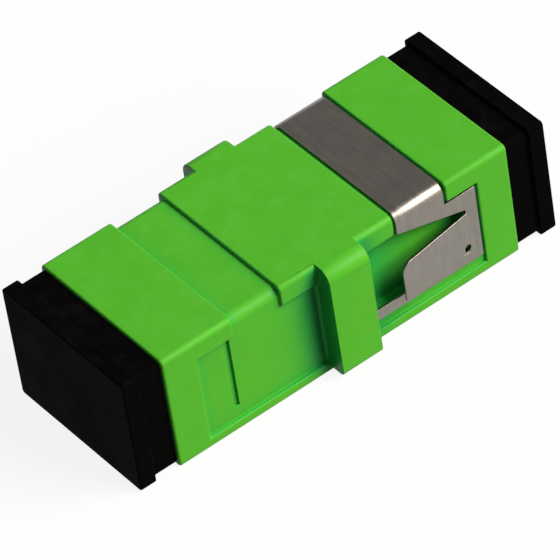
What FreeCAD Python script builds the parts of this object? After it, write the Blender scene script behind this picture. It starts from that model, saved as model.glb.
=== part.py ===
"""A simplex SC fibre adapter: a small coupling that holds two square fibre plugs end to end.

One moulded housing carries two identical latch holders, which trap a split ceramic sleeve
between them. A spring steel clip straddles the rear half and holds the adapter in a panel,
and a dust cap closes each end.

Frame: +X runs along the fibre to the rear, which is the half that carries the clip. +Z is up
and the origin is the middle of the face that the housing rests on. Millimetres.
"""
import FreeCAD, Part
import os
import Sketcher

SIZES = {
    # housing block
    "body_length": 28.4,
    "body_width": 13.0,
    "body_height": 9.4,
    "edge_round": 0.4,
    "foot_round": 0.25,
    "end_round": 0.18,
    # ears that stop the housing against the panel
    "ear_reach": 1.3,
    "ear_thickness": 3.3,
    "ear_lift": 0.3,
    "ear_top_round": 1.0,
    "ear_bottom_round": 0.4,
    "ear_root_step": 0.03,
    # shallow seats for the clip, the same on both halves
    "recess_depth": 0.27,
    "front_band_width": 3.9,
    "band_round": 0.7,
    "panel_bottom": 0.8,
    "panel_top": 7.75,
    "slot_from_centre": 9.05,
    "slot_width": 0.4,
    "slot_height": 5.9,
    "slot_bottom": 1.75,
    "slot_depth": 0.2,
    "tongue_pocket_lap": 0.3,
    "tongue_pocket_depth": 0.85,
    # plug cavity
    "cavity_width": 9.1,
    "cavity_height": 7.5,
    "rib_thickness": 1.0,
    "rib_height": 0.45,
    "flex_depth": 0.4,
    "flex_margin": 0.4,
    "key_width": 2.1,
    "key_length": 4.5,
    # latch holders
    "holder_clearance": 0.05,
    "flange_thickness": 1.6,
    "barrel_wall": 0.85,
    "barrel_chamfer": 0.3,
    "lip_thickness": 0.55,
    "lip_bore": 3.0,
    "arm_clearance": 0.2,
    "arm_thickness": 0.8,
    "arm_height": 3.4,
    "arm_reach": 10.4,
    "hook_length": 1.5,
    "hook_flat": 0.4,
    "hook_rise": 0.5,
    # split sleeve
    "sleeve_length": 11.4,
    "sleeve_outer": 3.2,
    "sleeve_bore": 2.5,
    "sleeve_gap": 0.5,
    "sleeve_clearance": 0.05,
    "sleeve_chamfer": 0.12,
    # mounting clip
    "steel_thickness": 0.2,
    "clip_clearance": 0.02,
    "bend_round": 0.65,
    "strap_start": 4.9,
    "strap_width": 3.95,
    "strap_near_gap": 0.25,
    "strap_far_gap": 0.15,
    "plate_length": 9.15,
    "plate_ear_gap": 0.55,
    "plate_end_gap": 0.15,
    "plate_foot_gap": 0.8,
    "plate_top_gap": 0.1,
    "leg_height": 0.85,
    "shear_gap": 0.1,
    "root_width": 0.95,
    "tongue_length": 6.1,
    "tongue_height": 3.25,
    "tongue_flare": 0.95,
    "tongue_top_round": 0.8,
    "tongue_foot_round": 0.3,
    "relief_radius": 0.28,
    "relief_inset": 0.22,
    "relief_rise": 0.45,
    "window_rise": 0.35,
    # dust caps
    "rim_width": 13.0,
    "rim_height": 9.4,
    "rim_thickness": 1.25,
    "rim_round": 0.3,
    "rim_edge_round": 0.12,
    "neck_inset": 0.26,
    "neck_length": 1.9,
    "plug_clearance": 0.08,
    "plug_end_gap": 0.3,
    "plug_wall": 0.9,
    "plug_chamfer": 0.25,
}
TOUCH = 1e-4


class Size:
    """A length with its value and the spreadsheet formula that gives it."""

    def __init__(self, value, formula):
        self.value = value
        self.formula = formula

    def __add__(self, other):
        other = as_size(other)
        return Size(self.value + other.value, f"({self.formula} + {other.formula})")

    def __sub__(self, other):
        other = as_size(other)
        return Size(self.value - other.value, f"({self.formula} - {other.formula})")

    def __mul__(self, factor):
        return Size(self.value * factor, f"({self.formula} * {factor})")

    def __truediv__(self, divisor):
        return Size(self.value / divisor, f"({self.formula} / {divisor})")

    def __neg__(self):
        return Size(-self.value, f"(-{self.formula})")


def as_size(number):
    """Wrap a plain number as a Size."""
    if isinstance(number, Size):
        return number
    return Size(number, str(number))


class Sizes:
    """The spreadsheet of driving dimensions, with one attribute for each alias."""

    def __init__(self, doc, values):
        sheet = doc.addObject("Spreadsheet::Sheet", "Sizes")
        for row, (alias, value) in enumerate(values.items(), 1):
            sheet.set(f"A{row}", alias)
            sheet.set(f"B{row}", str(value))
            sheet.setAlias(f"B{row}", alias)
            setattr(self, alias, Size(value, f"Sizes.{alias}"))
        doc.recompute()


def bind(item, name, size):
    """Tie a property of a feature, or one constraint of a sketch, to the spreadsheet."""
    item.setExpression(name, f"{as_size(size).formula} * 1 mm")


def origin_plane(body, role):
    """Return the body's own origin plane of the given role."""
    return next(item for item in body.Origin.OriginFeatures if item.Role == role)


def new_body(doc, size, label, turned=False, shift=None):
    """Make a body whose own X axis is the fibre axis, turned end for end when asked."""
    body = doc.addObject("PartDesign::Body", label)
    body.Label = label
    angle = 180 if turned else 0
    body.Placement = FreeCAD.Placement(FreeCAD.Vector(), FreeCAD.Rotation(FreeCAD.Vector(0, 0, 1), angle))
    bind(body, "Placement.Base.z", size.body_height / 2)
    if shift is not None:
        bind(body, "Placement.Base.x", shift)
    return body


def new_sketch(body, name, role, offset=None):
    """Put a sketch on one of the body's origin planes, moved along the plane's normal."""
    sketch = body.newObject("Sketcher::SketchObject", name)
    sketch.AttachmentSupport = [(origin_plane(body, role), "")]
    sketch.MapMode = "FlatFace"
    if offset is not None:
        bind(sketch, "AttachmentOffset.Base.z", offset)
    return sketch


def place(sketch, index, end, across, up):
    """Tie one point of a sketch to its two distances from the sketch's origin."""
    for kind, size in (("DistanceX", as_size(across)), ("DistanceY", as_size(up))):
        number = sketch.addConstraint(Sketcher.Constraint(kind, -1, 1, index, end, size.value))
        bind(sketch, f"Constraints[{number}]", size)


def polygon(sketch, corners):
    """Draw a closed outline through corners given as pairs of sizes."""
    points = [FreeCAD.Vector(as_size(x).value, as_size(y).value, 0) for x, y in corners]
    first = sketch.GeometryCount
    for start, end in zip(points, points[1:] + points[:1]):
        sketch.addGeometry(Part.LineSegment(start, end), False)
    for number in range(len(corners)):
        after = first + (number + 1) % len(corners)
        sketch.addConstraint(Sketcher.Constraint("Coincident", first + number, 2, after, 1))
    for number, (across, up) in enumerate(corners):
        place(sketch, first + number, 1, across, up)


def rectangle(sketch, left, right, low, high):
    """Draw a rectangle between two sizes across and two sizes up."""
    polygon(sketch, [(left, low), (right, low), (right, high), (left, high)])


def circle(sketch, radius, across=0, up=0):
    """Draw a circle of the given radius."""
    centre = FreeCAD.Vector(as_size(across).value, as_size(up).value, 0)
    ring = Part.Circle(centre, FreeCAD.Vector(0, 0, 1), radius.value)
    index = sketch.addGeometry(ring, False)
    place(sketch, index, 3, across, up)
    number = sketch.addConstraint(Sketcher.Constraint("Radius", index, radius.value))
    bind(sketch, f"Constraints[{number}]", radius)


def pad(body, name, sketch, length, symmetric=False, backward=False):
    """Raise a sketch along its normal, to both sides of it, or backward."""
    feature = body.newObject("PartDesign::Pad", name)
    feature.Profile = sketch
    bind(feature, "Length", length)
    feature.SideType = "Symmetric" if symmetric else "One side"
    feature.Reversed = backward
    body.Document.recompute()
    return feature


def pocket(body, name, sketch, depth=None, forward=False):
    """Cut a sketch into the body: against its normal, along it, or through everything."""
    volume = body.Shape.Volume
    feature = body.newObject("PartDesign::Pocket", name)
    feature.Profile = sketch
    if depth is None:
        feature.Type = "ThroughAll"
        feature.SideType = "Symmetric"
    else:
        bind(feature, "Length", depth)
        feature.Reversed = forward
    body.Document.recompute()
    if body.Shape.Volume >= volume:
        raise ValueError(f"{name} cuts nothing from {body.Label}")
    return feature


def mirror(body, name, feature, role):
    """Repeat a feature on the other side of one of the body's origin planes."""
    copy = body.newObject("PartDesign::Mirrored", name)
    copy.Originals = [feature]
    copy.MirrorPlane = (origin_plane(body, role), [""])
    body.Tip = copy
    body.Document.recompute()
    return copy


def dress(body, kind, name, size, points):
    """Round or chamfer the edges that pass through the given points."""
    base = body.Tip
    spots = [Part.Vertex(*[as_size(value).value for value in point]) for point in points]
    edges = []
    for number, edge in enumerate(base.Shape.Edges, 1):
        if any(edge.distToShape(spot)[0] < TOUCH for spot in spots):
            edges.append(f"Edge{number}")
    if len(edges) < len(points):
        raise ValueError(f"{name} finds {len(edges)} edges for {len(points)} points")
    feature = body.newObject(f"PartDesign::{kind}", name)
    feature.Base = (base, edges)
    bind(feature, "Radius" if kind == "Fillet" else "Size", size)
    body.Document.recompute()
    return feature


def both_signs(*values):
    """Return the point with its last two values in all four combinations of sign."""
    x, y, z = values
    return [(x, side, level) for side in (y, -y) for level in (z, -z)]


def make_block(body, size):
    """Raise the block of the housing with its rounded edges and its two ears."""
    length = size.body_length / 2
    width = size.body_width / 2
    height = size.body_height / 2
    section = new_sketch(body, "block_section", "YZ_Plane")
    rectangle(section, -width, width, -height, height)
    pad(body, "block", section, size.body_length, symmetric=True)
    for name, radius, z in (
            ("top_edges", size.edge_round, height), ("bottom_edges", size.foot_round, -height)):
        dress(body, "Fillet", name, radius, [(0, width, z), (0, -width, z)])
    ends = [(x, as_size(0), z) for x in (length, -length) for z in (height, -height)]
    dress(body, "Fillet", "end_edges", size.end_round, ends)

    reach = width + size.ear_reach
    foot = size.ear_lift - height
    section = new_sketch(body, "ear_section", "YZ_Plane")
    rectangle(section, -reach, reach, foot, height)
    pad(body, "ears", section, size.ear_thickness, symmetric=True)
    dress(body, "Fillet", "ear_tops", size.ear_top_round, [(0, reach, height), (0, -reach, height)])
    dress(body, "Fillet", "ear_feet", size.ear_bottom_round, [(0, reach, foot), (0, -reach, foot)])


def cut_clip_seats(body, size):
    """Cut the shallow seats for the clip's strap and side plates into both halves."""
    width = size.body_width / 2
    height = size.body_height / 2
    depth = size.recess_depth
    face = size.ear_thickness / 2
    low = size.panel_bottom - height
    high = size.panel_top - height
    near = size.strap_start - size.strap_near_gap
    rear_width = size.strap_near_gap + size.strap_width + size.strap_far_gap

    corners = []
    for name, start, length in (
            ("rear_band", near, rear_width),
            ("front_band", -near - size.front_band_width, size.front_band_width)):
        band = new_sketch(body, f"{name}_section", "YZ_Plane", start)
        polygon(band, [
            (-width - depth, high), (-width - depth, height + depth),
            (width + depth, height + depth), (width + depth, high),
            (width - depth, high), (width - depth, height - depth),
            (depth - width, height - depth), (depth - width, high)])
        pocket(body, name, band, length, forward=True)
        corners += [(start + length / 2, y, height - depth) for y in (width - depth, depth - width)]
    dress(body, "Fillet", "band_corners", size.band_round, corners)

    plate_end = face + size.plate_ear_gap + size.plate_length
    end = plate_end + size.plate_end_gap
    panels = new_sketch(body, "panel_outline", "XZ_Plane", width)
    rectangle(panels, face, end, low, high)
    rectangle(panels, -end, -face, low, high)
    cut = pocket(body, "right_panels", panels, depth)
    mirror(body, "left_panels", cut, "XZ_Plane")
    roots = [(x, y, (low + high) / 2) for x in (face, -face) for y in (width - depth, depth - width)]
    dress(body, "Fillet", "ear_roots", depth - size.ear_root_step, roots)

    slots = new_sketch(body, "slot_outline", "XZ_Plane", width - depth)
    near = size.slot_from_centre - size.slot_width / 2
    far = size.slot_from_centre + size.slot_width / 2
    foot = size.slot_bottom - height
    rectangle(slots, near, far, foot, foot + size.slot_height)
    rectangle(slots, -far, -near, foot, foot + size.slot_height)
    cut = pocket(body, "right_slots", slots, size.slot_depth)
    mirror(body, "left_slots", cut, "XZ_Plane")

    pocket_low = low + size.plate_foot_gap + size.leg_height - size.tongue_pocket_lap
    relief = new_sketch(body, "tongue_pocket_outline", "XZ_Plane", width - depth)
    rectangle(relief, face + depth, plate_end - size.root_width, pocket_low, high)
    cut = pocket(body, "right_tongue_pocket", relief, size.tongue_pocket_depth)
    mirror(body, "left_tongue_pocket", cut, "XZ_Plane")


def cut_plug_cavity(body, size):
    """Cut the cavity for the two plugs, with its stop ribs, flex grooves and keyways."""
    length = size.body_length / 2
    half_width = size.cavity_width / 2
    half_height = size.cavity_height / 2

    cavity = new_sketch(body, "cavity_section", "YZ_Plane")
    rectangle(cavity, -half_width, half_width, -half_height, half_height)
    pocket(body, "cavity", cavity)

    flex = new_sketch(body, "flex_section", "YZ_Plane")
    side = half_width + size.flex_depth
    rise = size.arm_height / 2 + size.flex_margin
    rectangle(flex, -side, side, -rise, rise)
    pocket(body, "flex_grooves", flex)

    ribs = new_sketch(body, "rib_section", "YZ_Plane", -size.flange_thickness)
    rectangle(ribs, -half_width, half_width, half_height - size.rib_height, half_height)
    rectangle(ribs, -half_width, half_width, -half_height, size.rib_height - half_height)
    pad(body, "stop_ribs", ribs, size.rib_thickness, backward=True)

    keyways = new_sketch(body, "keyway_outline", "XY_Plane", -size.body_height / 2)
    for near, far in ((length - size.key_length, length), (-length, size.key_length - length)):
        rectangle(keyways, near, far, -size.key_width / 2, size.key_width / 2)
    pocket(body, "keyways", keyways, (size.body_height - size.cavity_height) / 2, forward=True)


def make_housing(doc, size):
    """Mould the housing in one piece."""
    body = new_body(doc, size, "housing")
    make_block(body, size)
    cut_clip_seats(body, size)
    cut_plug_cavity(body, size)
    return body


def make_latch_holder(doc, size, label, turned):
    """Mould one latch holder: flange, half of the sleeve's barrel and two hooked arms."""
    body = new_body(doc, size, label, turned)
    half_width = size.cavity_width / 2 - size.holder_clearance
    half_height = size.cavity_height / 2 - size.holder_clearance
    chamber = size.sleeve_length / 2 + size.sleeve_clearance
    chamber_radius = size.sleeve_outer / 2 + size.sleeve_clearance
    barrel_radius = chamber_radius + size.barrel_wall
    reach = chamber + size.lip_thickness

    flange = new_sketch(body, "flange_section", "YZ_Plane")
    rectangle(flange, -half_width, half_width, -half_height, half_height)
    pad(body, "flange", flange, size.flange_thickness)

    barrel = new_sketch(body, "barrel_section", "YZ_Plane")
    circle(barrel, barrel_radius)
    pad(body, "barrel", barrel, reach)
    dress(body, "Chamfer", "barrel_tip", size.barrel_chamfer, [(reach, barrel_radius, 0)])

    outer = size.cavity_width / 2 - size.arm_clearance
    inner = outer - size.arm_thickness
    tip = size.arm_reach
    catch = tip - size.hook_length
    arm = new_sketch(body, "arm_outline", "XY_Plane")
    polygon(arm, [
        (0, inner), (catch, inner), (catch, inner - size.hook_rise),
        (catch + size.hook_flat, inner - size.hook_rise), (tip, inner), (tip, outer), (0, outer)])
    arm_pad = pad(body, "left_arm", arm, size.arm_height, symmetric=True)
    mirror(body, "right_arm", arm_pad, "XZ_Plane")

    bore = new_sketch(body, "sleeve_chamber_section", "YZ_Plane")
    circle(bore, chamber_radius)
    pocket(body, "sleeve_chamber", bore, chamber, forward=True)
    lip = new_sketch(body, "lip_section", "YZ_Plane")
    circle(lip, size.lip_bore / 2)
    pocket(body, "lip_hole", lip)
    return body


def make_split_sleeve(doc, size):
    """Make the ceramic sleeve that lines up the two ferrules."""
    body = new_body(doc, size, "split_sleeve")
    outer = size.sleeve_outer / 2
    section = new_sketch(body, "sleeve_section", "YZ_Plane")
    circle(section, outer)
    circle(section, size.sleeve_bore / 2)
    pad(body, "sleeve", section, size.sleeve_length, symmetric=True)
    end = size.sleeve_length / 2
    rims = [(x, 0, -outer) for x in (end, -end)]
    dress(body, "Chamfer", "sleeve_ends", size.sleeve_chamfer, rims)

    slit = new_sketch(body, "slit_section", "YZ_Plane")
    rectangle(slit, -size.sleeve_gap / 2, size.sleeve_gap / 2, 0, size.sleeve_outer)
    pocket(body, "slit", slit)
    return body


def make_mounting_clip(doc, size):
    """Fold the spring steel clip: a strap, two side plates and two flared tongues."""
    body = new_body(doc, size, "mounting_clip")
    half_height = size.body_height / 2
    floor = size.body_width / 2 - size.recess_depth
    inner = floor + size.clip_clearance
    outer = inner + size.steel_thickness
    under = half_height - size.recess_depth + size.clip_clearance
    over = under + size.steel_thickness
    bottom = size.panel_bottom + size.plate_foot_gap - half_height
    top = size.panel_top - size.plate_top_gap - half_height
    start = size.ear_thickness / 2 + size.plate_ear_gap
    end = start + size.plate_length
    strap_end = size.strap_start + size.strap_width

    fold = new_sketch(body, "fold_section", "YZ_Plane", start)
    polygon(fold, [
        (-outer, bottom), (-outer, over), (outer, over), (outer, bottom),
        (inner, bottom), (inner, under), (-inner, under), (-inner, bottom)])
    pad(body, "fold", fold, size.plate_length)
    middle = start + size.plate_length / 2
    inside = [(middle, y, under) for y in (inner, -inner)]
    dress(body, "Fillet", "inner_bends", size.bend_round, inside)
    outside = [(middle, y, over) for y in (outer, -outer)]
    dress(body, "Fillet", "outer_bends", size.bend_round + size.steel_thickness, outside)

    trim = new_sketch(body, "strap_trim", "XZ_Plane")
    rectangle(trim, start, size.strap_start, top, half_height)
    rectangle(trim, strap_end, end, top, half_height)
    pocket(body, "strap_sides", trim)

    root = end - size.root_width
    leg_top = bottom + size.leg_height
    tongue_bottom = leg_top + size.shear_gap
    tongue_top = tongue_bottom + size.tongue_height
    window = new_sketch(body, "window_outline", "XZ_Plane")
    polygon(window, [
        (start, leg_top), (root, leg_top), (root, tongue_top + size.window_rise),
        (size.strap_start, top), (start, top)])
    pocket(body, "windows", window)

    free = root - size.tongue_length
    tongues = new_sketch(body, "tongue_outline", "XY_Plane", tongue_bottom)
    ends = []
    for side in (-1, 1):
        polygon(tongues, [
            (root, inner * side), (free, (inner + size.tongue_flare) * side),
            (free, (outer + size.tongue_flare) * side), (root, outer * side)])
        ends.append((inner + size.tongue_flare + size.steel_thickness / 2) * side)
    pad(body, "tongues", tongues, size.tongue_height)
    dress(body, "Fillet", "tongue_tops", size.tongue_top_round, [(free, y, tongue_top) for y in ends])
    dress(body, "Fillet", "tongue_feet", size.tongue_foot_round, [(free, y, tongue_bottom) for y in ends])

    relief = new_sketch(body, "relief_outline", "XZ_Plane")
    circle(relief, size.relief_radius, root - size.relief_inset, leg_top + size.relief_rise)
    pocket(body, "relief_holes", relief)
    return body


def make_dust_cap(doc, size, label, turned):
    """Mould one dust cap: a rim to pull it by, a neck and a hollow plug."""
    shift = size.body_length / 2
    body = new_body(doc, size, label, turned, -shift if turned else shift)
    plug_width = size.cavity_width / 2 - size.plug_clearance
    plug_height = size.cavity_height / 2 - size.plug_clearance
    plug_length = size.body_length / 2 - size.arm_reach - size.plug_end_gap
    rim_width = size.rim_width / 2
    rim_height = size.rim_height / 2
    neck_width = rim_width - size.neck_inset
    neck_height = rim_height - size.neck_inset

    plug = new_sketch(body, "plug_section", "YZ_Plane")
    rectangle(plug, -plug_width, plug_width, -plug_height, plug_height)
    pad(body, "plug", plug, plug_length, backward=True)
    lead = [(-plug_length, 0, z) for z in (plug_height, -plug_height)]
    lead += [(-plug_length, y, 0) for y in (plug_width, -plug_width)]
    dress(body, "Chamfer", "plug_lead", size.plug_chamfer, lead)

    neck = new_sketch(body, "neck_section", "YZ_Plane")
    rectangle(neck, -neck_width, neck_width, -neck_height, neck_height)
    pad(body, "neck", neck, size.neck_length)
    middle = size.neck_length / 2
    dress(body, "Fillet", "neck_corners", size.rim_round, both_signs(middle, neck_width, neck_height))

    rim = new_sketch(body, "rim_section", "YZ_Plane", size.neck_length)
    rectangle(rim, -rim_width, rim_width, -rim_height, rim_height)
    pad(body, "rim", rim, size.rim_thickness)
    face = size.neck_length + size.rim_thickness
    middle = size.neck_length + size.rim_thickness / 2
    dress(body, "Fillet", "rim_corners", size.rim_round, both_signs(middle, rim_width, rim_height))
    dress(body, "Fillet", "rim_face", size.rim_edge_round, [(face, 0, rim_height)])

    hollow = new_sketch(body, "hollow_section", "YZ_Plane", -plug_length)
    inner_width = plug_width - size.plug_wall
    inner_height = plug_height - size.plug_wall
    rectangle(hollow, -inner_width, inner_width, -inner_height, inner_height)
    pocket(body, "hollow", hollow, plug_length + size.neck_length, forward=True)
    return body


def check(doc, bodies):
    """Stop if any feature failed or any piece is not one sound solid."""
    for item in doc.Objects:
        if "Invalid" in item.State or "Error" in item.State:
            raise ValueError(f"{item.Name} failed: {item.State}")
    for body in bodies:
        shape = body.Shape
        if shape.isNull() or not shape.isValid() or len(shape.Solids) != 1:
            raise ValueError(f"{body.Label} is not one sound solid")


def main():
    doc = FreeCAD.newDocument("fibre_adapter")
    size = Sizes(doc, SIZES)
    bodies = [
        make_housing(doc, size),
        make_latch_holder(doc, size, "latch_holder_front", turned=True),
        make_latch_holder(doc, size, "latch_holder_rear", turned=False),
        make_split_sleeve(doc, size),
        make_mounting_clip(doc, size),
        make_dust_cap(doc, size, "dust_cap_front", turned=True),
        make_dust_cap(doc, size, "dust_cap_rear", turned=False),
    ]
    doc.recompute()
    check(doc, bodies)
    os.makedirs("parts", exist_ok=True)
    for body in bodies:
        body.Shape.exportStep(f"parts/{body.Label}.step")
        box = body.Shape.BoundBox
        print(body.Label, f"{body.Shape.Volume:.2f} mm3", box)


main()
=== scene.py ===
"""Rectangular fibre adapter with its steel panel clip and two dust caps, dressed for rendering.

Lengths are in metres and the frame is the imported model's: +X along the fibre to the rear, +Z up.
Settings that are sizes of a pattern on a surface are in millimetres and say so.
"""
import math

import bmesh
import bpy
from bpy.props import FloatProperty, FloatVectorProperty, IntProperty, PointerProperty
from mathutils import Matrix, Vector
from mathutils.geometry import intersect_point_line


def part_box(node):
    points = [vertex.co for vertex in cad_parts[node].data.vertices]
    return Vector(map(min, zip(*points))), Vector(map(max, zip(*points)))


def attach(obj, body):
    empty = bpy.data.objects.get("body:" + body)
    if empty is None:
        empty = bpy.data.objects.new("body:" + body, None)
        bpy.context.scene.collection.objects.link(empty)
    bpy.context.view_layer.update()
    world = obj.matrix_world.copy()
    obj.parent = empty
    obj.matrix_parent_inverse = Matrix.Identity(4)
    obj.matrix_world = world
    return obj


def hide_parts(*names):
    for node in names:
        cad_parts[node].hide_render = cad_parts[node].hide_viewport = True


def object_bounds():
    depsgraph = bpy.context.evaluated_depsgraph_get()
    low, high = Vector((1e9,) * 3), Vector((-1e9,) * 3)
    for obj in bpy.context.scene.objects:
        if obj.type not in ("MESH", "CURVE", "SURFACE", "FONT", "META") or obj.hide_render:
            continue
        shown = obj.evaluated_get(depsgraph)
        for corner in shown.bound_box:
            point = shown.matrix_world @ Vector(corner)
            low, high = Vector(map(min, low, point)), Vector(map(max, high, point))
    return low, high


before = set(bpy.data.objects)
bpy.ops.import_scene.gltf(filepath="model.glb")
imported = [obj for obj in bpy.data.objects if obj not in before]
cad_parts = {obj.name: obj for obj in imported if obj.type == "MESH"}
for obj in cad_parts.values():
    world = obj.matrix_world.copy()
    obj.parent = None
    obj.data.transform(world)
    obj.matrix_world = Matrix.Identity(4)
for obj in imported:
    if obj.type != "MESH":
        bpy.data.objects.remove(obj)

bl_info = {
    "name": "Fibre Adapter",
    "version": (1, 0, 0),
    "blender": (4, 5, 0),
    "location": "View3D > Sidebar > Fibre Adapter",
    "description": "Builds a rectangular fibre adapter with its panel clip, dust caps and stage",
    "category": "Add Mesh",
}

MM = 0.001
CAD_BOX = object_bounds()
SLEEVE_LOW, SLEEVE_HIGH = (Vector(corner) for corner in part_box("split_sleeve"))
FIBRE_HEIGHT = (Vector(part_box("housing")[0]).z + Vector(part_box("housing")[1]).z) / 2

# An edge that turns by more than SHARP_TURN stays sharp in the shading, and is rounded where it
# points outward. Faces that turn by less than FLAT_TURN are joined into one. Two edges are
# parallel when the cosine between them is more than PARALLEL.
SHARP_TURN = math.radians(30)
FLAT_TURN = math.radians(0.5)
PARALLEL = math.cos(math.radians(2))
SAME_PLACE = 0.001 * MM
# A wall between these two heights is a low step, which can have a rounding of its own. LOW_STEP
# is also the rounding that an edge's full weight stands for.
SLOT_DEPTH = 0.22 * MM
LOW_STEP = 0.3 * MM
ROUNDING_STEPS = 3
LIP_STEPS = 4
LARGEST_FACE_FIRST = 100

# Rays traced for the masks of edges and creases. A point where more than NEARLY_OPEN of them get
# away has no crease.
EDGE_RAYS = 6
CREASE_RAYS = 12
NEARLY_OPEN = 0.98
# Cosines of the turn that softening gives a normal where the edge mask of wear and painted
# highlight begins and where it is full, and how far inward the solid is felt for, in widths of that
# mask.
EDGE_MASK_BEGINS, EDGE_MASK_FULL = 0.995, 0.85
WIDTHS_INWARD = 3.0
# Heights of a direction, as its Z, where the white horizon ends and where the ceiling begins.
HORIZON_ENDS, CEILING_BEGINS = 0.2, 0.5

WHITE = (1.0, 1.0, 1.0, 1.0)
PALE_DUST = (0.55, 0.56, 0.5, 1.0)
GREY_DUST = (0.3, 0.29, 0.27, 1.0)
FLOW_MARK = (0.14, 0.52, 0.026, 1.0)
POLISHED_EDGE = (0.93, 0.93, 0.9, 1.0)

# The floor is this far below the lowest faces, so that the two never share a plane.
FLOOR_GAP = 0.02 * MM
FLOOR_SIDES = 96
FILM_WIDTH_MM = 36.0
NEAREST_SEEN = 10 * MM


# ---------------------------------------------------------------- settings

class HousingSettings(bpy.types.PropertyGroup):
    """Green moulded parts: the housing and the two latch holders inside it."""
    colour: FloatVectorProperty(
        name="Plastic", description="Colour of the green plastic",
        subtype="COLOR", size=3, min=0, max=1, default=(0.09, 0.5, 0.026))
    # Partly painted highlight: the paler edge colour stands both for rubbing and for light caught
    # along the rounded edges.
    wear_and_highlight_colour: FloatVectorProperty(
        name="Rubbed Edge and Highlight", description="Paler colour of the plastic where its edges are rubbed",
        subtype="COLOR", size=3, min=0, max=1, default=(0.17, 0.6, 0.05))
    # Painted shade: this cooler, darker colour stands in for the shadow and cool fill beside the
    # ear and the housing's walls.
    wall_shade_colour: FloatVectorProperty(
        name="Wall Shade", description="Cooler colour of the plastic beside its walls",
        subtype="COLOR", size=3, min=0, max=1, default=(0.024, 0.44, 0.062))
    # Painted shade: this darker colour stands in for the shadow deep in the clip's pocket.
    pocket_shade_colour: FloatVectorProperty(
        name="Pocket Shade", description="Duller colour of the plastic deep in its pockets",
        subtype="COLOR", size=3, min=0, max=1, default=(0.03, 0.2, 0.07))
    edge_radius: FloatProperty(
        name="Edge Radius", description="Rounding of the housing's outside edges",
        unit="LENGTH", min=0, precision=6, default=0.045 * MM)
    step_share: FloatProperty(
        name="Step Rounding", description="Rounding of a low step, as a share of its height",
        min=0, max=0.9, default=0.6)
    holder_edge_radius: FloatProperty(
        name="Holder Edge Radius", description="Rounding of the latch holders' outside edges",
        unit="LENGTH", min=0, precision=6, default=0.05 * MM)


class SleeveSettings(bpy.types.PropertyGroup):
    """Split ceramic sleeve that holds the two ferrules in line."""
    colour: FloatVectorProperty(
        name="Ceramic", description="Colour of the sleeve's ceramic",
        subtype="COLOR", size=3, min=0, max=1, default=(0.86, 0.85, 0.81))
    length: FloatProperty(
        name="Length", description="Length along the fibre",
        unit="LENGTH", min=0, precision=6, default=SLEEVE_HIGH.x - SLEEVE_LOW.x)
    outer: FloatProperty(
        name="Outer Diameter", description="Diameter over the outside",
        unit="LENGTH", min=0, precision=6, default=SLEEVE_HIGH.y - SLEEVE_LOW.y)
    bore: FloatProperty(
        name="Bore", description="Diameter of the hole that takes the ferrules",
        unit="LENGTH", min=0, precision=6, default=2.5 * MM)
    slit: FloatProperty(
        name="Slit", description="Width of the slit along the top",
        unit="LENGTH", min=0, precision=6, default=0.5 * MM)
    lip: FloatProperty(
        name="Lip Radius", description="Rounding of both ends, where a ferrule goes in",
        unit="LENGTH", min=0, precision=6, default=0.1 * MM)
    steps: IntProperty(
        name="Steps", description="Steps round the sleeve", min=12, default=72)


class ClipSettings(bpy.types.PropertyGroup):
    """Folded spring steel clip."""
    colour: FloatVectorProperty(
        name="Steel", description="Colour of the bare steel",
        subtype="COLOR", size=3, min=0, max=1, default=(0.265, 0.242, 0.212))
    wear_and_highlight_colour: FloatVectorProperty(
        name="Cut Edge", description="Brighter colour of the steel along its sheared edges",
        subtype="COLOR", size=3, min=0, max=1, default=(0.52, 0.5, 0.46))
    edge_radius: FloatProperty(
        name="Edge Radius", description="Rounding of the sheared edges",
        unit="LENGTH", min=0, precision=6, default=0.03 * MM)


class CapSettings(bpy.types.PropertyGroup):
    """Black dust caps."""
    colour: FloatVectorProperty(
        name="Plastic", description="Colour of the black plastic",
        subtype="COLOR", size=3, min=0, max=1, default=(0.0025, 0.002, 0.002))
    # Partly painted highlight: the greyer edge colour stands both for rubbing and for light caught
    # along the caps' edges.
    wear_and_highlight_colour: FloatVectorProperty(
        name="Rubbed Edge and Highlight", description="Greyer colour where the caps' edges are rubbed",
        subtype="COLOR", size=3, min=0, max=1, default=(0.02, 0.02, 0.02))
    edge_radius: FloatProperty(
        name="Edge Radius", description="Rounding of the caps' outside edges",
        unit="LENGTH", min=0, precision=6, default=0.08 * MM)


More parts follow.
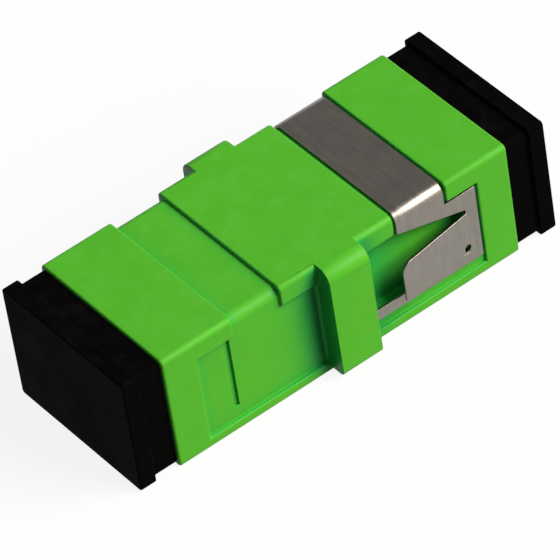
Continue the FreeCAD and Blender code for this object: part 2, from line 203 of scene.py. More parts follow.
class StageSettings(bpy.types.PropertyGroup):
    """Camera, lamp, room and floor."""
    camera_azimuth: FloatProperty(
        name="Camera Azimuth", description="Turn of the camera round the part",
        unit="ROTATION", default=math.radians(-31.573))
    camera_elevation: FloatProperty(
        name="Camera Elevation", description="Height of the camera above the horizon",
        unit="ROTATION", default=math.radians(42.912))
    camera_roll: FloatProperty(
        name="Camera Roll", description="Tilt of the camera about its own line of sight",
        unit="ROTATION", default=math.radians(-9.546))
    camera_distance: FloatProperty(
        name="Camera Distance", description="Distance from the camera to the point it looks at",
        unit="LENGTH", min=0, default=0.448345)
    camera_aim: FloatVectorProperty(
        name="Camera Aim", description="Point that the camera looks at",
        subtype="XYZ", unit="LENGTH", size=3, precision=6,
        default=(1.355 * MM, 2.976 * MM, -0.294 * MM))
    focal_length: FloatProperty(
        name="Focal Length", description="Focal length on a 36 mm wide film, in millimetres",
        min=1, default=436.79)
    lamp_azimuth: FloatProperty(
        name="Lamp Azimuth", description="Turn of the lamp round the part",
        unit="ROTATION", default=math.radians(40.0))
    lamp_elevation: FloatProperty(
        name="Lamp Elevation", description="Height of the lamp above the horizon",
        unit="ROTATION", default=math.radians(39.4))
    lamp_distance: FloatProperty(
        name="Lamp Distance", description="Distance from the part to the lamp",
        unit="LENGTH", min=0, default=2.5)
    lamp_width: FloatProperty(
        name="Lamp Width", description="Width of the lamp's square diffuser",
        unit="LENGTH", min=0, default=1.7)
    lamp_power: FloatProperty(
        name="Lamp Power", description="Power of the lamp in watts", min=0, default=97)
    lamp_colour: FloatVectorProperty(
        name="Lamp Colour", description="Colour of the lamp's light",
        subtype="COLOR", size=3, min=0, max=1, default=(1.0, 0.955, 0.86))
    room_light: FloatVectorProperty(
        name="Room Light", description="Colour and level of the light that comes from all round",
        subtype="COLOR", size=3, min=0, max=1, default=(0.03, 0.06, 0.13))
    ceiling: FloatProperty(
        name="Ceiling", description="Level of the room overhead as gloss and glass see it",
        min=0, max=1, default=0.33)
    floor_colour: FloatProperty(
        name="Floor Colour", description="Share of the light that the pale floor throws back",
        min=0, max=1, default=0.12)
    floor_radius: FloatProperty(
        name="Floor Radius", description="Radius of the round floor",
        unit="LENGTH", min=0, default=0.5)


SETTINGS = {
    "adapter_housing": HousingSettings,
    "adapter_sleeve": SleeveSettings,
    "adapter_clip": ClipSettings,
    "adapter_caps": CapSettings,
    "adapter_stage": StageSettings,
}


# ---------------------------------------------------------------- node helpers

def add(tree, kind, inputs=None, label="", **settings):
    """A new node; each input is set to a value or linked from another node's output."""
    node = tree.nodes.new(kind)
    node.label = label
    for name, value in settings.items():
        setattr(node, name, value)
    for key, value in (inputs or {}).items():
        if isinstance(value, bpy.types.NodeSocket):
            tree.links.new(value, node.inputs[key])
        else:
            node.inputs[key].default_value = value
    return node


def socket(tree, name, kind, default=None, low=None, high=None, output=False):
    """A named input or output on a node group."""
    made = tree.interface.new_socket(
        name=name, in_out="OUTPUT" if output else "INPUT", socket_type=kind)
    if default is not None:
        made.default_value = default
    if low is not None:
        made.min_value = low
    if high is not None:
        made.max_value = high
    return made


def math_node(tree, operation, first, second=0.0, clamp=False):
    """The result of one sum on two values."""
    node = add(tree, "ShaderNodeMath", {0: first, 1: second}, operation=operation)
    node.use_clamp = clamp
    return node.outputs["Value"]


def remap(tree, value, low, high, to_low=0.0, to_high=1.0, smooth=True):
    """A value spread from one range to another, held at both ends."""
    node = add(tree, "ShaderNodeMapRange", {
        "Value": value, "From Min": low, "From Max": high, "To Min": to_low, "To Max": to_high})
    node.interpolation_type = "SMOOTHSTEP" if smooth else "LINEAR"
    return node.outputs["Result"]


def between(tree, mask, low, high):
    """A value that goes evenly with a mask from the low one to the high one."""
    return remap(tree, mask, 0.0, 1.0, low, high, smooth=False)


def blend_colours(tree, factor, first, second):
    """One colour laid over another by a mask; sockets 6, 7 and 2 are the node's colours."""
    node = add(tree, "ShaderNodeMix", {0: factor, 6: first, 7: second},
               data_type="RGBA", blend_type="MIX", clamp_factor=True)
    return node.outputs[2]


def rgba(colour):
    """A colour setting with its alpha."""
    return (*colour, 1.0)


def shades(tree, mask, colour, dark, light):
    """A colour that goes with a mask from a darker shade of it to a lighter one."""
    return blend_colours(tree, mask, rgba(colour * dark), rgba(colour * light))


def in_sight(tree):
    """One for the rays that the camera, gloss and glass see by, zero for the rest."""
    ray = add(tree, "ShaderNodeLightPath").outputs
    seen = math_node(tree, "ADD", ray["Is Camera Ray"], ray["Is Glossy Ray"])
    return math_node(tree, "ADD", seen, ray["Is Transmission Ray"], True)


def arrange(tree):
    """Puts the nodes in columns, each left of what it feeds."""
    column = {node: 0 for node in tree.nodes}
    for _ in tree.nodes:
        for link in tree.links:
            column[link.from_node] = max(column[link.from_node], column[link.to_node] + 1)
    filled = {}
    for node in tree.nodes:
        row = filled.get(column[node], 0)
        node.location = (-240 * column[node], -220 * row)
        filled[column[node]] = row + 1


# ---------------------------------------------------------------- shared effects

def surface_point(tree, stretch=(1.0, 1.0, 1.0)):
    """Place on the piece in millimetres, squeezed along the axes where a pattern runs long."""
    place = add(tree, "ShaderNodeTexCoord", label="Place on the Piece")
    scaled = add(tree, "ShaderNodeMapping", {
        "Vector": place.outputs["Object"],
        "Scale": tuple(part / MM for part in stretch)}, label="Millimetres")
    return scaled.outputs["Vector"]


def one_over(tree, size):
    """The scale of a pattern that repeats at this size."""
    return math_node(tree, "DIVIDE", 1.0, size)


def moulded_surface_group():
    """Fine grain and slow mottle of a moulded surface."""
    tree = bpy.data.node_groups.new("Moulded Surface", "ShaderNodeTree")
    socket(tree, "Grain Size mm", "NodeSocketFloat", 0.12, 0.01, 5)
    socket(tree, "Mottle Size mm", "NodeSocketFloat", 2.5, 0.1, 50)
    socket(tree, "Height", "NodeSocketFloat", output=True)
    socket(tree, "Mottle", "NodeSocketFloat", output=True)
    given = add(tree, "NodeGroupInput").outputs
    point = surface_point(tree)
    grain = add(tree, "ShaderNodeTexNoise", {
        "Vector": point, "Scale": one_over(tree, given["Grain Size mm"]),
        "Detail": 3.0, "Roughness": 0.55}, label="Grain")
    pits = add(tree, "ShaderNodeTexVoronoi", {
        "Vector": point, "Scale": one_over(tree, given["Grain Size mm"])},
        label="Pits", feature="SMOOTH_F1")
    slow = add(tree, "ShaderNodeTexNoise", {
        "Vector": point, "Scale": one_over(tree, given["Mottle Size mm"]),
        "Detail": 4.0, "Roughness": 0.6}, label="Mottle")
    pitted = math_node(tree, "MULTIPLY", pits.outputs["Distance"], 0.6)
    result = add(tree, "NodeGroupOutput")
    tree.links.new(math_node(tree, "ADD", grain.outputs["Fac"], pitted), result.inputs["Height"])
    tree.links.new(remap(tree, slow.outputs["Fac"], 0.3, 0.7), result.inputs["Mottle"])
    arrange(tree)
    return tree


def worn_edges_group():
    """Mask of fine lines along edges and inside corners, fainter where little solid is behind. The
    plastics use it both for rubbed edges and for painted highlight on them.
    """
    tree = bpy.data.node_groups.new("Rubbed and Lit Edges", "ShaderNodeTree")
    socket(tree, "Width mm", "NodeSocketFloat", 0.1, 0.01, 2)
    socket(tree, "Rub and Highlight", "NodeSocketFloat", 0.5, 0, 1)
    socket(tree, "Patch Size mm", "NodeSocketFloat", 1.2, 0.1, 20)
    socket(tree, "Mask", "NodeSocketFloat", output=True)
    given = add(tree, "NodeGroupInput").outputs
    radius = math_node(tree, "MULTIPLY", given["Width mm"], MM)
    softened = add(tree, "ShaderNodeBevel", {"Radius": radius}, samples=EDGE_RAYS)
    flat = add(tree, "ShaderNodeNewGeometry")
    facing = add(tree, "ShaderNodeVectorMath", {
        0: softened.outputs["Normal"], 1: flat.outputs["True Normal"]}, operation="DOT_PRODUCT")
    turned = remap(tree, facing.outputs["Value"], EDGE_MASK_BEGINS, EDGE_MASK_FULL)
    inward = add(tree, "ShaderNodeAmbientOcclusion", {
        "Distance": math_node(tree, "MULTIPLY", radius, WIDTHS_INWARD)},
        inside=True, samples=EDGE_RAYS)
    thick = remap(tree, inward.outputs["AO"], 0.3, 0.75)
    patches = add(tree, "ShaderNodeTexNoise", {
        "Vector": surface_point(tree), "Scale": one_over(tree, given["Patch Size mm"]),
        "Detail": 5.0, "Roughness": 0.65}, label="Edge Patches")
    broken = remap(tree, patches.outputs["Fac"], 0.35, 0.6, 0.35, 1.0)
    lines = math_node(tree, "MULTIPLY", turned, thick)
    rubbed_and_highlit = math_node(tree, "MULTIPLY", lines, broken)
    edge_mask = math_node(tree, "MULTIPLY", rubbed_and_highlit, given["Rub and Highlight"], True)
    result = add(tree, "NodeGroupOutput")
    tree.links.new(edge_mask, result.inputs["Mask"])
    arrange(tree)
    return tree


def shaded_creases_group():
    """Mask of painted shade: the surface that walls within reach close in, leaving out those within
    the skip.
    """
    tree = bpy.data.node_groups.new("Shaded Creases", "ShaderNodeTree")
    socket(tree, "Reach mm", "NodeSocketFloat", 0.3, 0.01, 5)
    socket(tree, "Skip mm", "NodeSocketFloat", 0.0, 0, 5)
    socket(tree, "Open Share", "NodeSocketFloat", 0.35, 0, 0.9)
    socket(tree, "Depth", "NodeSocketFloat", 0.5, 0, 1)
    socket(tree, "Mask", "NodeSocketFloat", output=True)
    given = add(tree, "NodeGroupInput").outputs
    within, near = (
        add(tree, "ShaderNodeAmbientOcclusion", {
            "Distance": math_node(tree, "MULTIPLY", given[name], MM)},
            samples=CREASE_RAYS, only_local=True)
        for name in ("Reach mm", "Skip mm"))
    skipped = math_node(tree, "SUBTRACT", 1.0, near.outputs["AO"])
    open_share = math_node(tree, "ADD", within.outputs["AO"], skipped)
    crease = remap(tree, open_share, NEARLY_OPEN, given["Open Share"])
    result = add(tree, "NodeGroupOutput")
    tree.links.new(math_node(tree, "MULTIPLY", crease, given["Depth"], True), result.inputs["Mask"])
    arrange(tree)
    return tree


def settled_dust_group():
    """Mask of faint specks and dust on the faces that look up."""
    tree = bpy.data.node_groups.new("Settled Dust", "ShaderNodeTree")
    socket(tree, "Amount", "NodeSocketFloat", 0.2, 0, 1)
    socket(tree, "Speck Size mm", "NodeSocketFloat", 0.35, 0.02, 5)
    socket(tree, "Mask", "NodeSocketFloat", output=True)
    given = add(tree, "NodeGroupInput").outputs
    point = surface_point(tree)
    facing = add(tree, "ShaderNodeSeparateXYZ", {
        "Vector": add(tree, "ShaderNodeNewGeometry").outputs["Normal"]})
    upward = remap(tree, facing.outputs["Z"], 0.35, 0.95)
    specks = add(tree, "ShaderNodeTexVoronoi", {
        "Vector": point, "Scale": one_over(tree, given["Speck Size mm"])}, label="Specks")
    dots = remap(tree, specks.outputs["Distance"], 0.16, 0.06)
    rare = add(tree, "ShaderNodeTexNoise", {
        "Vector": point, "Scale": 0.9, "Detail": 3.0}, label="Where Dust Settles")
    film = remap(tree, rare.outputs["Fac"], 0.45, 0.75)
    specked = math_node(tree, "MULTIPLY", dots, film)
    veiled = math_node(tree, "MULTIPLY", film, 0.35)
    settled = math_node(tree, "MULTIPLY", math_node(tree, "ADD", specked, veiled, True), upward)
    dusty = math_node(tree, "MULTIPLY", settled, given["Amount"])
    result = add(tree, "NodeGroupOutput")
    tree.links.new(dusty, result.inputs["Mask"])
    arrange(tree)
    return tree


def drawn_streaks_group():
    """Fine streaks across X: rolling marks on the steel strip, flow marks in moulded walls."""
    tree = bpy.data.node_groups.new("Drawn Streaks", "ShaderNodeTree")
    socket(tree, "Streak Width mm", "NodeSocketFloat", 0.12, 0.01, 5)
    socket(tree, "Streak", "NodeSocketFloat", output=True)
    given = add(tree, "NodeGroupInput").outputs
    scale = one_over(tree, given["Streak Width mm"])
    fine = add(tree, "ShaderNodeTexNoise", {
        "Vector": surface_point(tree, (1.0, 0.035, 0.035)), "Scale": scale,
        "Detail": 4.0, "Roughness": 0.7}, label="Fine Streaks")
    broad = add(tree, "ShaderNodeTexNoise", {
        "Vector": surface_point(tree, (0.25, 0.03, 0.03)), "Scale": scale,
        "Detail": 2.0}, label="Broad Streaks")
    mostly_fine = math_node(tree, "MULTIPLY", fine.outputs["Fac"], 0.6)
    partly_broad = math_node(tree, "MULTIPLY", broad.outputs["Fac"], 0.4)
    mixed = math_node(tree, "ADD", mostly_fine, partly_broad)
    result = add(tree, "NodeGroupOutput")
    tree.links.new(remap(tree, mixed, 0.3, 0.7, smooth=False), result.inputs["Streak"])
    arrange(tree)
    return tree


SHARED_EFFECTS = {
    "Moulded Surface": moulded_surface_group,
    "Rubbed and Lit Edges": worn_edges_group,
    "Settled Dust": settled_dust_group,
    "Shaded Creases": shaded_creases_group,
    "Drawn Streaks": drawn_streaks_group,
}


def effect(tree, name, values):
    """One of the shared effects, placed in a material with its own values."""
    group = bpy.data.node_groups.get(name) or SHARED_EFFECTS[name]()
    return add(tree, "ShaderNodeGroup", values, label=name, node_tree=group).outputs


# ---------------------------------------------------------------- finishes

def new_finish(name):
    """An empty material with its output and the shader that feeds it."""
    material = bpy.data.materials.new(name)
    material.use_nodes = True
    tree = material.node_tree
    tree.nodes.clear()
    shader = add(tree, "ShaderNodeBsdfPrincipled")
    add(tree, "ShaderNodeOutputMaterial", {"Surface": shader.outputs["BSDF"]})
    return material, tree, shader


def relief(tree, shader, height, depth_mm, strength):
    """Raises the surface by a height pattern."""
    bump = add(tree, "ShaderNodeBump", {
        "Height": height, "Distance": depth_mm * MM, "Strength": strength})
    tree.links.new(bump.outputs["Normal"], shader.inputs["Normal"])


def green_plastic_finish(settings):
    """Bright satin plastic with flow streaks and dust, paler edges that are partly rubbed and
    partly a painted highlight, and painted shade beside its walls, deep in its pockets and in its
    creases.
    """
    material, tree, shader = new_finish("Green Plastic")
    surface = effect(tree, "Moulded Surface", {"Grain Size mm": 0.14, "Mottle Size mm": 2.2})
    streaks = effect(tree, "Drawn Streaks", {"Streak Width mm": 0.4})
    edges = effect(tree, "Rubbed and Lit Edges", {"Width mm": 0.14, "Rub and Highlight": 0.35, "Patch Size mm": 1.6})
    # Painted shade: where walls within 5 mm close the plastic in, it takes the cooler, darker wall
    # shade colour.
    shelter = effect(tree, "Shaded Creases", {
        "Reach mm": 5.0, "Skip mm": 0.25, "Open Share": 0.8, "Depth": 1.0})
    # Painted shade: deep in pockets, where walls within 2 mm close the plastic in, it darkens
    # further.
    pockets = effect(tree, "Shaded Creases", {
        "Reach mm": 2.0, "Skip mm": 0.6, "Open Share": 0.7, "Depth": 0.5})
    # Painted shade: narrow creases and inside corners darken to about a third of the plastic's
    # colour.
    creases = effect(tree, "Shaded Creases", {"Reach mm": 0.5, "Open Share": 0.35, "Depth": 0.4})
    dust = effect(tree, "Settled Dust", {"Amount": 0.07, "Speck Size mm": 0.4})
    base = Vector(settings.colour)
    mottled = shades(tree, surface["Mottle"], base, 0.97, 1.03)
    flowed = blend_colours(
        tree, math_node(tree, "MULTIPLY", streaks["Streak"], 0.3), mottled, FLOW_MARK)
    # The paler edges are partly rubbing and partly a painted highlight.
    rubbed_and_highlit = blend_colours(tree, edges["Mask"], flowed, rgba(settings.wear_and_highlight_colour))
    dusted = blend_colours(tree, dust["Mask"], rubbed_and_highlit, PALE_DUST)
    wall_shaded = blend_colours(tree, shelter["Mask"], dusted, rgba(settings.wall_shade_colour))
    pocket_shaded = blend_colours(tree, pockets["Mask"], wall_shaded, rgba(settings.pocket_shade_colour))
    crease_shaded = blend_colours(tree, creases["Mask"], pocket_shaded, rgba(base * 0.35))
    tree.links.new(crease_shaded, shader.inputs["Base Color"])
    dulled = math_node(tree, "MULTIPLY", dust["Mask"], 0.5)
    satin = between(tree, surface["Mottle"], 0.36, 0.44)
    tree.links.new(math_node(tree, "ADD", satin, dulled, True), shader.inputs["Roughness"])
    relief(tree, shader, surface["Height"], 0.004, 0.5)
    shader.inputs["Specular IOR Level"].default_value = 0.12
    arrange(tree)
    return material


def black_plastic_finish(settings):
    """Soft black plastic with greyer edges, partly rubbed and partly a painted highlight."""
    material, tree, shader = new_finish("Black Plastic")
    surface = effect(tree, "Moulded Surface", {"Grain Size mm": 0.1, "Mottle Size mm": 3.0})
    edges = effect(tree, "Rubbed and Lit Edges", {"Width mm": 0.14, "Rub and Highlight": 0.7, "Patch Size mm": 0.9})
    dust = effect(tree, "Settled Dust", {"Amount": 0.02, "Speck Size mm": 0.3})
    base = Vector(settings.colour)
    mottled = shades(tree, surface["Mottle"], base, 0.8, 1.3)
    # The greyer edges are partly rubbing and partly a painted highlight.
    rubbed_and_highlit = blend_colours(tree, edges["Mask"], mottled, rgba(settings.wear_and_highlight_colour))
    dusted = blend_colours(tree, dust["Mask"], rubbed_and_highlit, GREY_DUST)
    tree.links.new(dusted, shader.inputs["Base Color"])
    tree.links.new(between(tree, surface["Mottle"], 0.5, 0.62), shader.inputs["Roughness"])
    relief(tree, shader, surface["Height"], 0.004, 0.5)
    shader.inputs["Specular IOR Level"].default_value = 0.005
    arrange(tree)
    return material


def spring_steel_finish(settings):
    """Rolled steel strip with streaks along it and brighter sheared edges."""
    material, tree, shader = new_finish("Spring Steel")
    streaks = effect(tree, "Drawn Streaks", {"Streak Width mm": 0.09})
    surface = effect(tree, "Moulded Surface", {"Grain Size mm": 0.25, "Mottle Size mm": 1.6})
    edges = effect(tree, "Rubbed and Lit Edges", {"Width mm": 0.06, "Rub and Highlight": 0.8, "Patch Size mm": 0.6})
    base = Vector(settings.colour)
    rolled = shades(tree, streaks["Streak"], base, 0.86, 1.14)
    hazed = blend_colours(
        tree, math_node(tree, "MULTIPLY", surface["Mottle"], 0.3), rolled, rgba(base * 0.72))
    tree.links.new(blend_colours(tree, edges["Mask"], hazed, rgba(settings.wear_and_highlight_colour)),
                   shader.inputs["Base Color"])
    tree.links.new(between(tree, streaks["Streak"], 0.26, 0.4), shader.inputs["Roughness"])
    relief(tree, shader, streaks["Streak"], 0.003, 0.6)
    shader.inputs["Metallic"].default_value = 1.0
    arrange(tree)
    return material


def white_ceramic_finish(settings):
    """Polished ceramic, nearly white, with the faintest cloud in it."""
    material, tree, shader = new_finish("White Ceramic")
    surface = effect(tree, "Moulded Surface", {"Grain Size mm": 0.06, "Mottle Size mm": 1.1})
    edges = effect(tree, "Rubbed and Lit Edges", {"Width mm": 0.05, "Rub and Highlight": 0.4, "Patch Size mm": 0.5})
    base = Vector(settings.colour)
    clouded = shades(tree, surface["Mottle"], base, 0.96, 1.03)
    tree.links.new(blend_colours(tree, edges["Mask"], clouded, POLISHED_EDGE),
                   shader.inputs["Base Color"])
    tree.links.new(between(tree, surface["Mottle"], 0.12, 0.2), shader.inputs["Roughness"])
    relief(tree, shader, surface["Height"], 0.001, 0.3)
    arrange(tree)
    return material


FINISHES = {
    "green_plastic": (green_plastic_finish, "adapter_housing"),
    "white_ceramic": (white_ceramic_finish, "adapter_sleeve"),
    "spring_steel": (spring_steel_finish, "adapter_clip"),
    "black_plastic": (black_plastic_finish, "adapter_caps"),
}
FINISHED = {}


def finish_for(scene, slot):
    """The finish of a material slot, made the first time it is asked for."""
    if slot not in FINISHED:
        make, settings = FINISHES[slot]
        FINISHED[slot] = make(getattr(scene, settings))
    return FINISHED[slot]


# ---------------------------------------------------------------- meshes

def borders_beside(edge):
    """The borders that run beside an edge on its two faces, each with its face and its distance."""
    start, end = (corner.co for corner in edge.verts)
    along = (end - start).normalized()
    for face in edge.link_faces:
        for other in face.edges:
            if other == edge:
                continue
            first, second = (corner.co for corner in other.verts)
            nearest, share = intersect_point_line((first + second) / 2, start, end)
            if 0 < share < 1 and abs((second - first).normalized().dot(along)) > PARALLEL:
                yield other, face, ((first + second) / 2 - nearest).length


def edge_roundings(work, radius, step_share):
    """How far each outside edge is rounded; one with less room than two radii stays sharp."""
    outside = [edge for edge in work.edges if edge.calc_face_angle_signed(0.0) > SHARP_TURN]
    low_walls = {}
    for edge in outside:
        for other, face, distance in borders_beside(edge):
            inside_corner = other.calc_face_angle_signed(0.0) < -SHARP_TURN
            if inside_corner and SLOT_DEPTH < distance < LOW_STEP:
                low_walls[face] = distance
    roundings = {}
    for edge in outside:
        nearest = min((distance for _, _, distance in borders_beside(edge)), default=math.inf)
        heights = [low_walls[face] for face in edge.link_faces if face in low_walls]
        if nearest >= 2 * radius:
            softened = heights and step_share
            roundings[edge] = step_share * min(heights + [nearest]) if softened else radius
    return roundings


def joined_surface(node, radius, step_share):
    """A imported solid's mesh, its triangles joined into faces, with edge roundings as weights."""
    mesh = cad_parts[node].data.copy()
    work = bmesh.new()
    work.from_mesh(mesh)
    bmesh.ops.remove_doubles(work, verts=work.verts, dist=SAME_PLACE)
    bmesh.ops.dissolve_limit(work, angle_limit=FLAT_TURN, verts=work.verts, edges=work.edges)
    weight = work.edges.layers.float.new("bevel_weight_edge")
    for edge, rounding in edge_roundings(work, radius, step_share).items():
        edge[weight] = rounding / LOW_STEP
    bmesh.ops.connect_verts_concave(work, faces=work.faces)
    work.to_mesh(mesh)
    work.free()
    mesh.materials.clear()
    return mesh


def shade(mesh):
    """Smooth shading that breaks at the sharp edges."""
    mesh.shade_smooth()
    mesh.set_sharp_from_angle(angle=SHARP_TURN)


def baked(piece):
    """The mesh that a piece's modifiers give, put in its place; the modifiers go."""
    seen = piece.evaluated_get(bpy.context.evaluated_depsgraph_get())
    mesh = bpy.data.meshes.new_from_object(seen)
    piece.modifiers.clear()
    piece.data = mesh
    mesh.name = piece.name
    return mesh


def rounded_piece(name, node, radius, step_share=0.0):
    """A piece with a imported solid's shape and its outside edges rounded."""
    piece = bpy.data.objects.new(name, joined_surface(node, radius, step_share))
    bpy.context.scene.collection.objects.link(piece)
    bevel = piece.modifiers.new("Rounded Edges", "BEVEL")
    bevel.width = LOW_STEP
    bevel.segments = ROUNDING_STEPS
    bevel.limit_method = "WEIGHT"
    bevel.use_clamp_overlap = False
    bevel.loop_slide = False
    shade(baked(piece))
    even = piece.modifiers.new("Even Shading", "WEIGHTED_NORMAL")
    even.keep_sharp = True
    even.weight = LARGEST_FACE_FIRST
    baked(piece)
    return piece


def hand_over(scene, piece, slot, body, *nodes):
    """Gives a finished piece its finish, the body it moves with and the solids it stands for."""
    mesh = piece.data
    if not mesh.materials:
        mesh.materials.append(finish_for(scene, slot))
    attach(piece, body)
    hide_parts(*nodes)


def slit_tube_tree():
    """Geometry nodes for a tube with a slit along its top and rounded ends, laid along X."""
    tree = bpy.data.node_groups.new("Slit Tube", "GeometryNodeTree")
    tree.is_modifier = True
    for name in ("Length", "Outer Diameter", "Bore", "Slit", "Lip Radius", "Height"):
        socket(tree, name, "NodeSocketFloat", MM, 0).subtype = "DISTANCE"
    socket(tree, "Steps", "NodeSocketInt", 72, 12)
    socket(tree, "Material", "NodeSocketMaterial")
    socket(tree, "Geometry", "NodeSocketGeometry", output=True)
    given = add(tree, "NodeGroupInput").outputs
    across = math_node(tree, "ADD", given["Outer Diameter"], given["Bore"])
    middle = math_node(tree, "DIVIDE", across, 4.0)
    wall = math_node(tree, "DIVIDE", math_node(
        tree, "SUBTRACT", given["Outer Diameter"], given["Bore"]), 2.0)
    half_slit = math_node(tree, "ARCSINE", math_node(
        tree, "DIVIDE", math_node(tree, "DIVIDE", given["Slit"], 2.0), middle))
    sweep = math_node(tree, "SUBTRACT", math.tau, math_node(tree, "MULTIPLY", half_slit, 2.0))
    ring = add(tree, "GeometryNodeCurveArc", {
        "Resolution": given["Steps"], "Radius": middle, "Start Angle": half_slit,
        "Sweep Angle": sweep}, label="Round the Sleeve")
    section = add(tree, "GeometryNodeCurvePrimitiveQuadrilateral", {
        "Width": wall, "Height": given["Length"]}, label="Wall Section")
    rounded = add(tree, "GeometryNodeFilletCurve", {
        "Curve": section.outputs["Curve"], "Radius": given["Lip Radius"],
        "Limit Radius": True}, label="Rounded Lips", mode="POLY")
    rounded.inputs["Count"].default_value = LIP_STEPS
    wound = add(tree, "GeometryNodeCurveToMesh", {
        "Curve": ring.outputs["Curve"], "Profile Curve": rounded.outputs["Curve"],
        "Fill Caps": True}, label="Slit Tube")
    height = add(tree, "ShaderNodeCombineXYZ", {"Z": given["Height"]})
    laid = add(tree, "GeometryNodeTransform", {
        "Geometry": wound.outputs["Mesh"], "Translation": height.outputs["Vector"],
        "Rotation": (0.0, -math.pi / 2, 0.0)}, label="Laid Along X")
    painted = add(tree, "GeometryNodeSetMaterial", {
        "Geometry": laid.outputs["Geometry"], "Material": given["Material"]})
    real = add(tree, "GeometryNodeRealizeInstances", {"Geometry": painted.outputs["Geometry"]})
    add(tree, "NodeGroupOutput", {"Geometry": real.outputs["Geometry"]})
    arrange(tree)
    return tree


def set_inputs(modifier, values):
    """Sets a geometry nodes modifier's inputs by their names in its tree."""
    for item in modifier.node_group.interface.items_tree:
        if item.in_out == "INPUT" and item.name in values:
            modifier[item.identifier] = values[item.name]


# ---------------------------------------------------------------- operators

class ADAPTER_OT_housing(bpy.types.Operator):
    """Build the green housing"""
    bl_idname = "adapter.housing"
    bl_label = "Housing"
    bl_options = {"REGISTER", "UNDO"}

    def execute(self, context):
        settings = context.scene.adapter_housing
        piece = rounded_piece("housing_body", "housing", settings.edge_radius, settings.step_share)
        hand_over(context.scene, piece, "green_plastic", "adapter", "housing")
        return {"FINISHED"}


class ADAPTER_OT_latch_holders(bpy.types.Operator):
    """Build the two latch holders inside the housing"""
    bl_idname = "adapter.latch_holders"
    bl_label = "Latch Holders"
    bl_options = {"REGISTER", "UNDO"}

    def execute(self, context):
        settings = context.scene.adapter_housing
        for end in ("front", "rear"):
            node = f"latch_holder_{end}"
            piece = rounded_piece(f"plug_latches_{end}", node, settings.holder_edge_radius)
            hand_over(context.scene, piece, "green_plastic", "adapter", node)
        return {"FINISHED"}


class ADAPTER_OT_sleeve(bpy.types.Operator):
    """Build the split ceramic sleeve"""
    bl_idname = "adapter.sleeve"
    bl_label = "Split Sleeve"
    bl_options = {"REGISTER", "UNDO"}

    def execute(self, context):
        settings = context.scene.adapter_sleeve
        piece = bpy.data.objects.new("ferrule_sleeve", bpy.data.meshes.new("ferrule_sleeve"))
        context.scene.collection.objects.link(piece)
        tube = piece.modifiers.new("Slit Tube", "NODES")
        tube.node_group = slit_tube_tree()
        set_inputs(tube, {
            "Length": settings.length, "Outer Diameter": settings.outer, "Bore": settings.bore,
            "Slit": settings.slit, "Lip Radius": settings.lip, "Height": FIBRE_HEIGHT,
            "Steps": settings.steps, "Material": finish_for(context.scene, "white_ceramic")})
        shade(baked(piece))
        hand_over(context.scene, piece, "white_ceramic", "adapter", "split_sleeve")
        return {"FINISHED"}


class ADAPTER_OT_clip(bpy.types.Operator):
    """Build the folded steel clip"""
    bl_idname = "adapter.clip"
    bl_label = "Mounting Clip"
    bl_options = {"REGISTER", "UNDO"}

    def execute(self, context):
        settings = context.scene.adapter_clip
        piece = rounded_piece("panel_clip", "mounting_clip", settings.edge_radius)
        hand_over(context.scene, piece, "spring_steel", "adapter", "mounting_clip")
        return {"FINISHED"}


class ADAPTER_OT_caps(bpy.types.Operator):
    """Build the two dust caps"""
    bl_idname = "adapter.caps"
    bl_label = "Dust Caps"
    bl_options = {"REGISTER", "UNDO"}

    def execute(self, context):
        settings = context.scene.adapter_caps
        for end in ("front", "rear"):
            node = f"dust_cap_{end}"
            piece = rounded_piece(f"{end}_dust_cover", node, settings.edge_radius)
            hand_over(context.scene, piece, "black_plastic", f"{end}_cap", node)
        return {"FINISHED"}


def looking_frame(azimuth, elevation, roll, target, distance):
    """Placement of something that looks at a point from this side; azimuth 0 looks along +Y."""
    right = Vector((math.cos(azimuth), math.sin(azimuth), 0.0))
    up = Vector((-math.sin(azimuth) * math.sin(elevation),
                 math.cos(azimuth) * math.sin(elevation), math.cos(elevation)))
    back = right.cross(up)
    turned_right = right * math.cos(roll) + up * math.sin(roll)
    turned_up = up * math.cos(roll) - right * math.sin(roll)
    rows = Matrix((turned_right, turned_up, back)).transposed().to_4x4()
    return Matrix.Translation(Vector(target) + back * distance) @ rows


def floor_finish(reflectance):
    """Pale floor that keeps the shadow, looks white from above and is clear from below."""
    material, tree, shader = new_finish("Pale Floor")
    shader.inputs["Base Color"].default_value = (reflectance, reflectance, reflectance, 1.0)
    shader.inputs["Roughness"].default_value = 1.0
    shader.inputs["Specular IOR Level"].default_value = 0.0
    shader.inputs["Emission Color"].default_value = WHITE
    tree.links.new(math_node(tree, "MULTIPLY", in_sight(tree), 1.0 - reflectance),
                   shader.inputs["Emission Strength"])
    see_through = add(tree, "ShaderNodeBsdfTransparent")
    from_below = add(tree, "ShaderNodeNewGeometry").outputs["Backfacing"]
    one_sided = add(tree, "ShaderNodeMixShader", {
        0: from_below, 1: shader.outputs["BSDF"], 2: see_through.outputs["BSDF"]})
    tree.links.new(one_sided.outputs["Shader"], tree.get_output_node("CYCLES").inputs["Surface"])
    arrange(tree)
    return material


def light_room(settings):
    """Room light: dim and even on the part, white round the horizon and grey overhead in gloss."""
    world = bpy.data.worlds.new("Room")
    bpy.context.scene.world = world
    world.use_nodes = True
    tree = world.node_tree
    tree.nodes.clear()
    direction = add(tree, "ShaderNodeSeparateXYZ", {
        "Vector": add(tree, "ShaderNodeTexCoord").outputs["Generated"]})
    level = remap(
        tree, direction.outputs["Z"], HORIZON_ENDS, CEILING_BEGINS, 1.0, settings.ceiling)
    backdrop = add(tree, "ShaderNodeBackground", {"Color": WHITE, "Strength": level})
    fill = add(tree, "ShaderNodeBackground", {"Color": rgba(settings.room_light), "Strength": 1.0})
    mixed = add(tree, "ShaderNodeMixShader", {
        0: in_sight(tree), 1: fill.outputs["Background"], 2: backdrop.outputs["Background"]})
    add(tree, "ShaderNodeOutputWorld", {"Surface": mixed.outputs["Shader"]})
    arrange(tree)


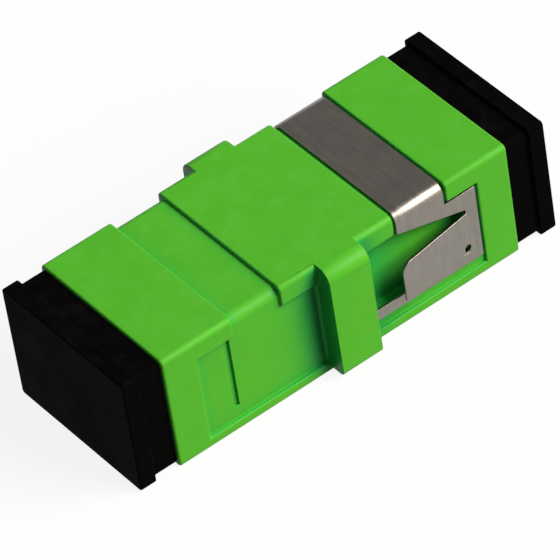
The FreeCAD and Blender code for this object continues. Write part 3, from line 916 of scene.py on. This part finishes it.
class ADAPTER_OT_stage(bpy.types.Operator):
    """Set up the floor, the room, the lamp and the camera"""
    bl_idname = "adapter.stage"
    bl_label = "Stage"
    bl_options = {"REGISTER", "UNDO"}

    def execute(self, context):
        scene = context.scene
        settings = scene.adapter_stage
        disc = bpy.data.meshes.new("floor")
        work = bmesh.new()
        bmesh.ops.create_circle(
            work, cap_ends=True, segments=FLOOR_SIDES, radius=settings.floor_radius)
        work.to_mesh(disc)
        work.free()
        floor = bpy.data.objects.new("floor", disc)
        scene.collection.objects.link(floor)
        floor.location.z = -FLOOR_GAP
        disc.materials.append(floor_finish(settings.floor_colour))
        light_room(settings)

        lamp_data = bpy.data.lights.new("softbox", "AREA")
        lamp_data.shape = "SQUARE"
        lamp_data.size = settings.lamp_width
        lamp_data.energy = settings.lamp_power
        lamp_data.color = settings.lamp_colour
        lamp = bpy.data.objects.new("softbox", lamp_data)
        scene.collection.objects.link(lamp)
        middle = (Vector(CAD_BOX[0]) + Vector(CAD_BOX[1])) / 2
        lamp.matrix_world = looking_frame(
            settings.lamp_azimuth, settings.lamp_elevation, 0.0, middle, settings.lamp_distance)

        camera_data = bpy.data.cameras.new("camera")
        camera_data.lens = settings.focal_length
        camera_data.sensor_width = FILM_WIDTH_MM
        camera_data.clip_start = NEAREST_SEEN
        camera = bpy.data.objects.new("camera", camera_data)
        scene.collection.objects.link(camera)
        camera.matrix_world = looking_frame(
            settings.camera_azimuth, settings.camera_elevation, settings.camera_roll,
            settings.camera_aim, settings.camera_distance)
        scene.camera = camera
        scene.view_settings.view_transform = "Standard"
        return {"FINISHED"}


class ADAPTER_PT_parts(bpy.types.Panel):
    """Lists the adapter's pieces with their settings"""
    bl_idname = "ADAPTER_PT_parts"
    bl_label = "Fibre Adapter"
    bl_space_type = "VIEW_3D"
    bl_region_type = "UI"
    bl_category = "Fibre Adapter"

    def draw(self, context):
        for group, operators in PANEL_ROWS:
            box = self.layout.box()
            settings = getattr(context.scene, group)
            for name in settings.__annotations__:
                box.prop(settings, name)
            for operator in operators:
                box.operator(operator.bl_idname)


PANEL_ROWS = (
    ("adapter_housing", (ADAPTER_OT_housing, ADAPTER_OT_latch_holders)),
    ("adapter_sleeve", (ADAPTER_OT_sleeve,)),
    ("adapter_clip", (ADAPTER_OT_clip,)),
    ("adapter_caps", (ADAPTER_OT_caps,)),
    ("adapter_stage", (ADAPTER_OT_stage,)),
)


def register():
    """Makes the settings, the operators and the panel known to Blender."""
    for name, group in SETTINGS.items():
        bpy.utils.register_class(group)
        setattr(bpy.types.Scene, name, PointerProperty(type=group))
    for _, operators in PANEL_ROWS:
        for operator in operators:
            bpy.utils.register_class(operator)
    bpy.utils.register_class(ADAPTER_PT_parts)


def unregister():
    """Takes them away again, last first."""
    bpy.utils.unregister_class(ADAPTER_PT_parts)
    for _, operators in reversed(PANEL_ROWS):
        for operator in reversed(operators):
            bpy.utils.unregister_class(operator)
    for name, group in reversed(SETTINGS.items()):
        delattr(bpy.types.Scene, name)
        bpy.utils.unregister_class(group)


def main():
    """Builds every piece and the stage."""
    register()
    bpy.ops.adapter.housing()
    bpy.ops.adapter.latch_holders()
    bpy.ops.adapter.sleeve()
    bpy.ops.adapter.clip()
    bpy.ops.adapter.caps()
    bpy.ops.adapter.stage()


if __name__ == "__main__":
    main()
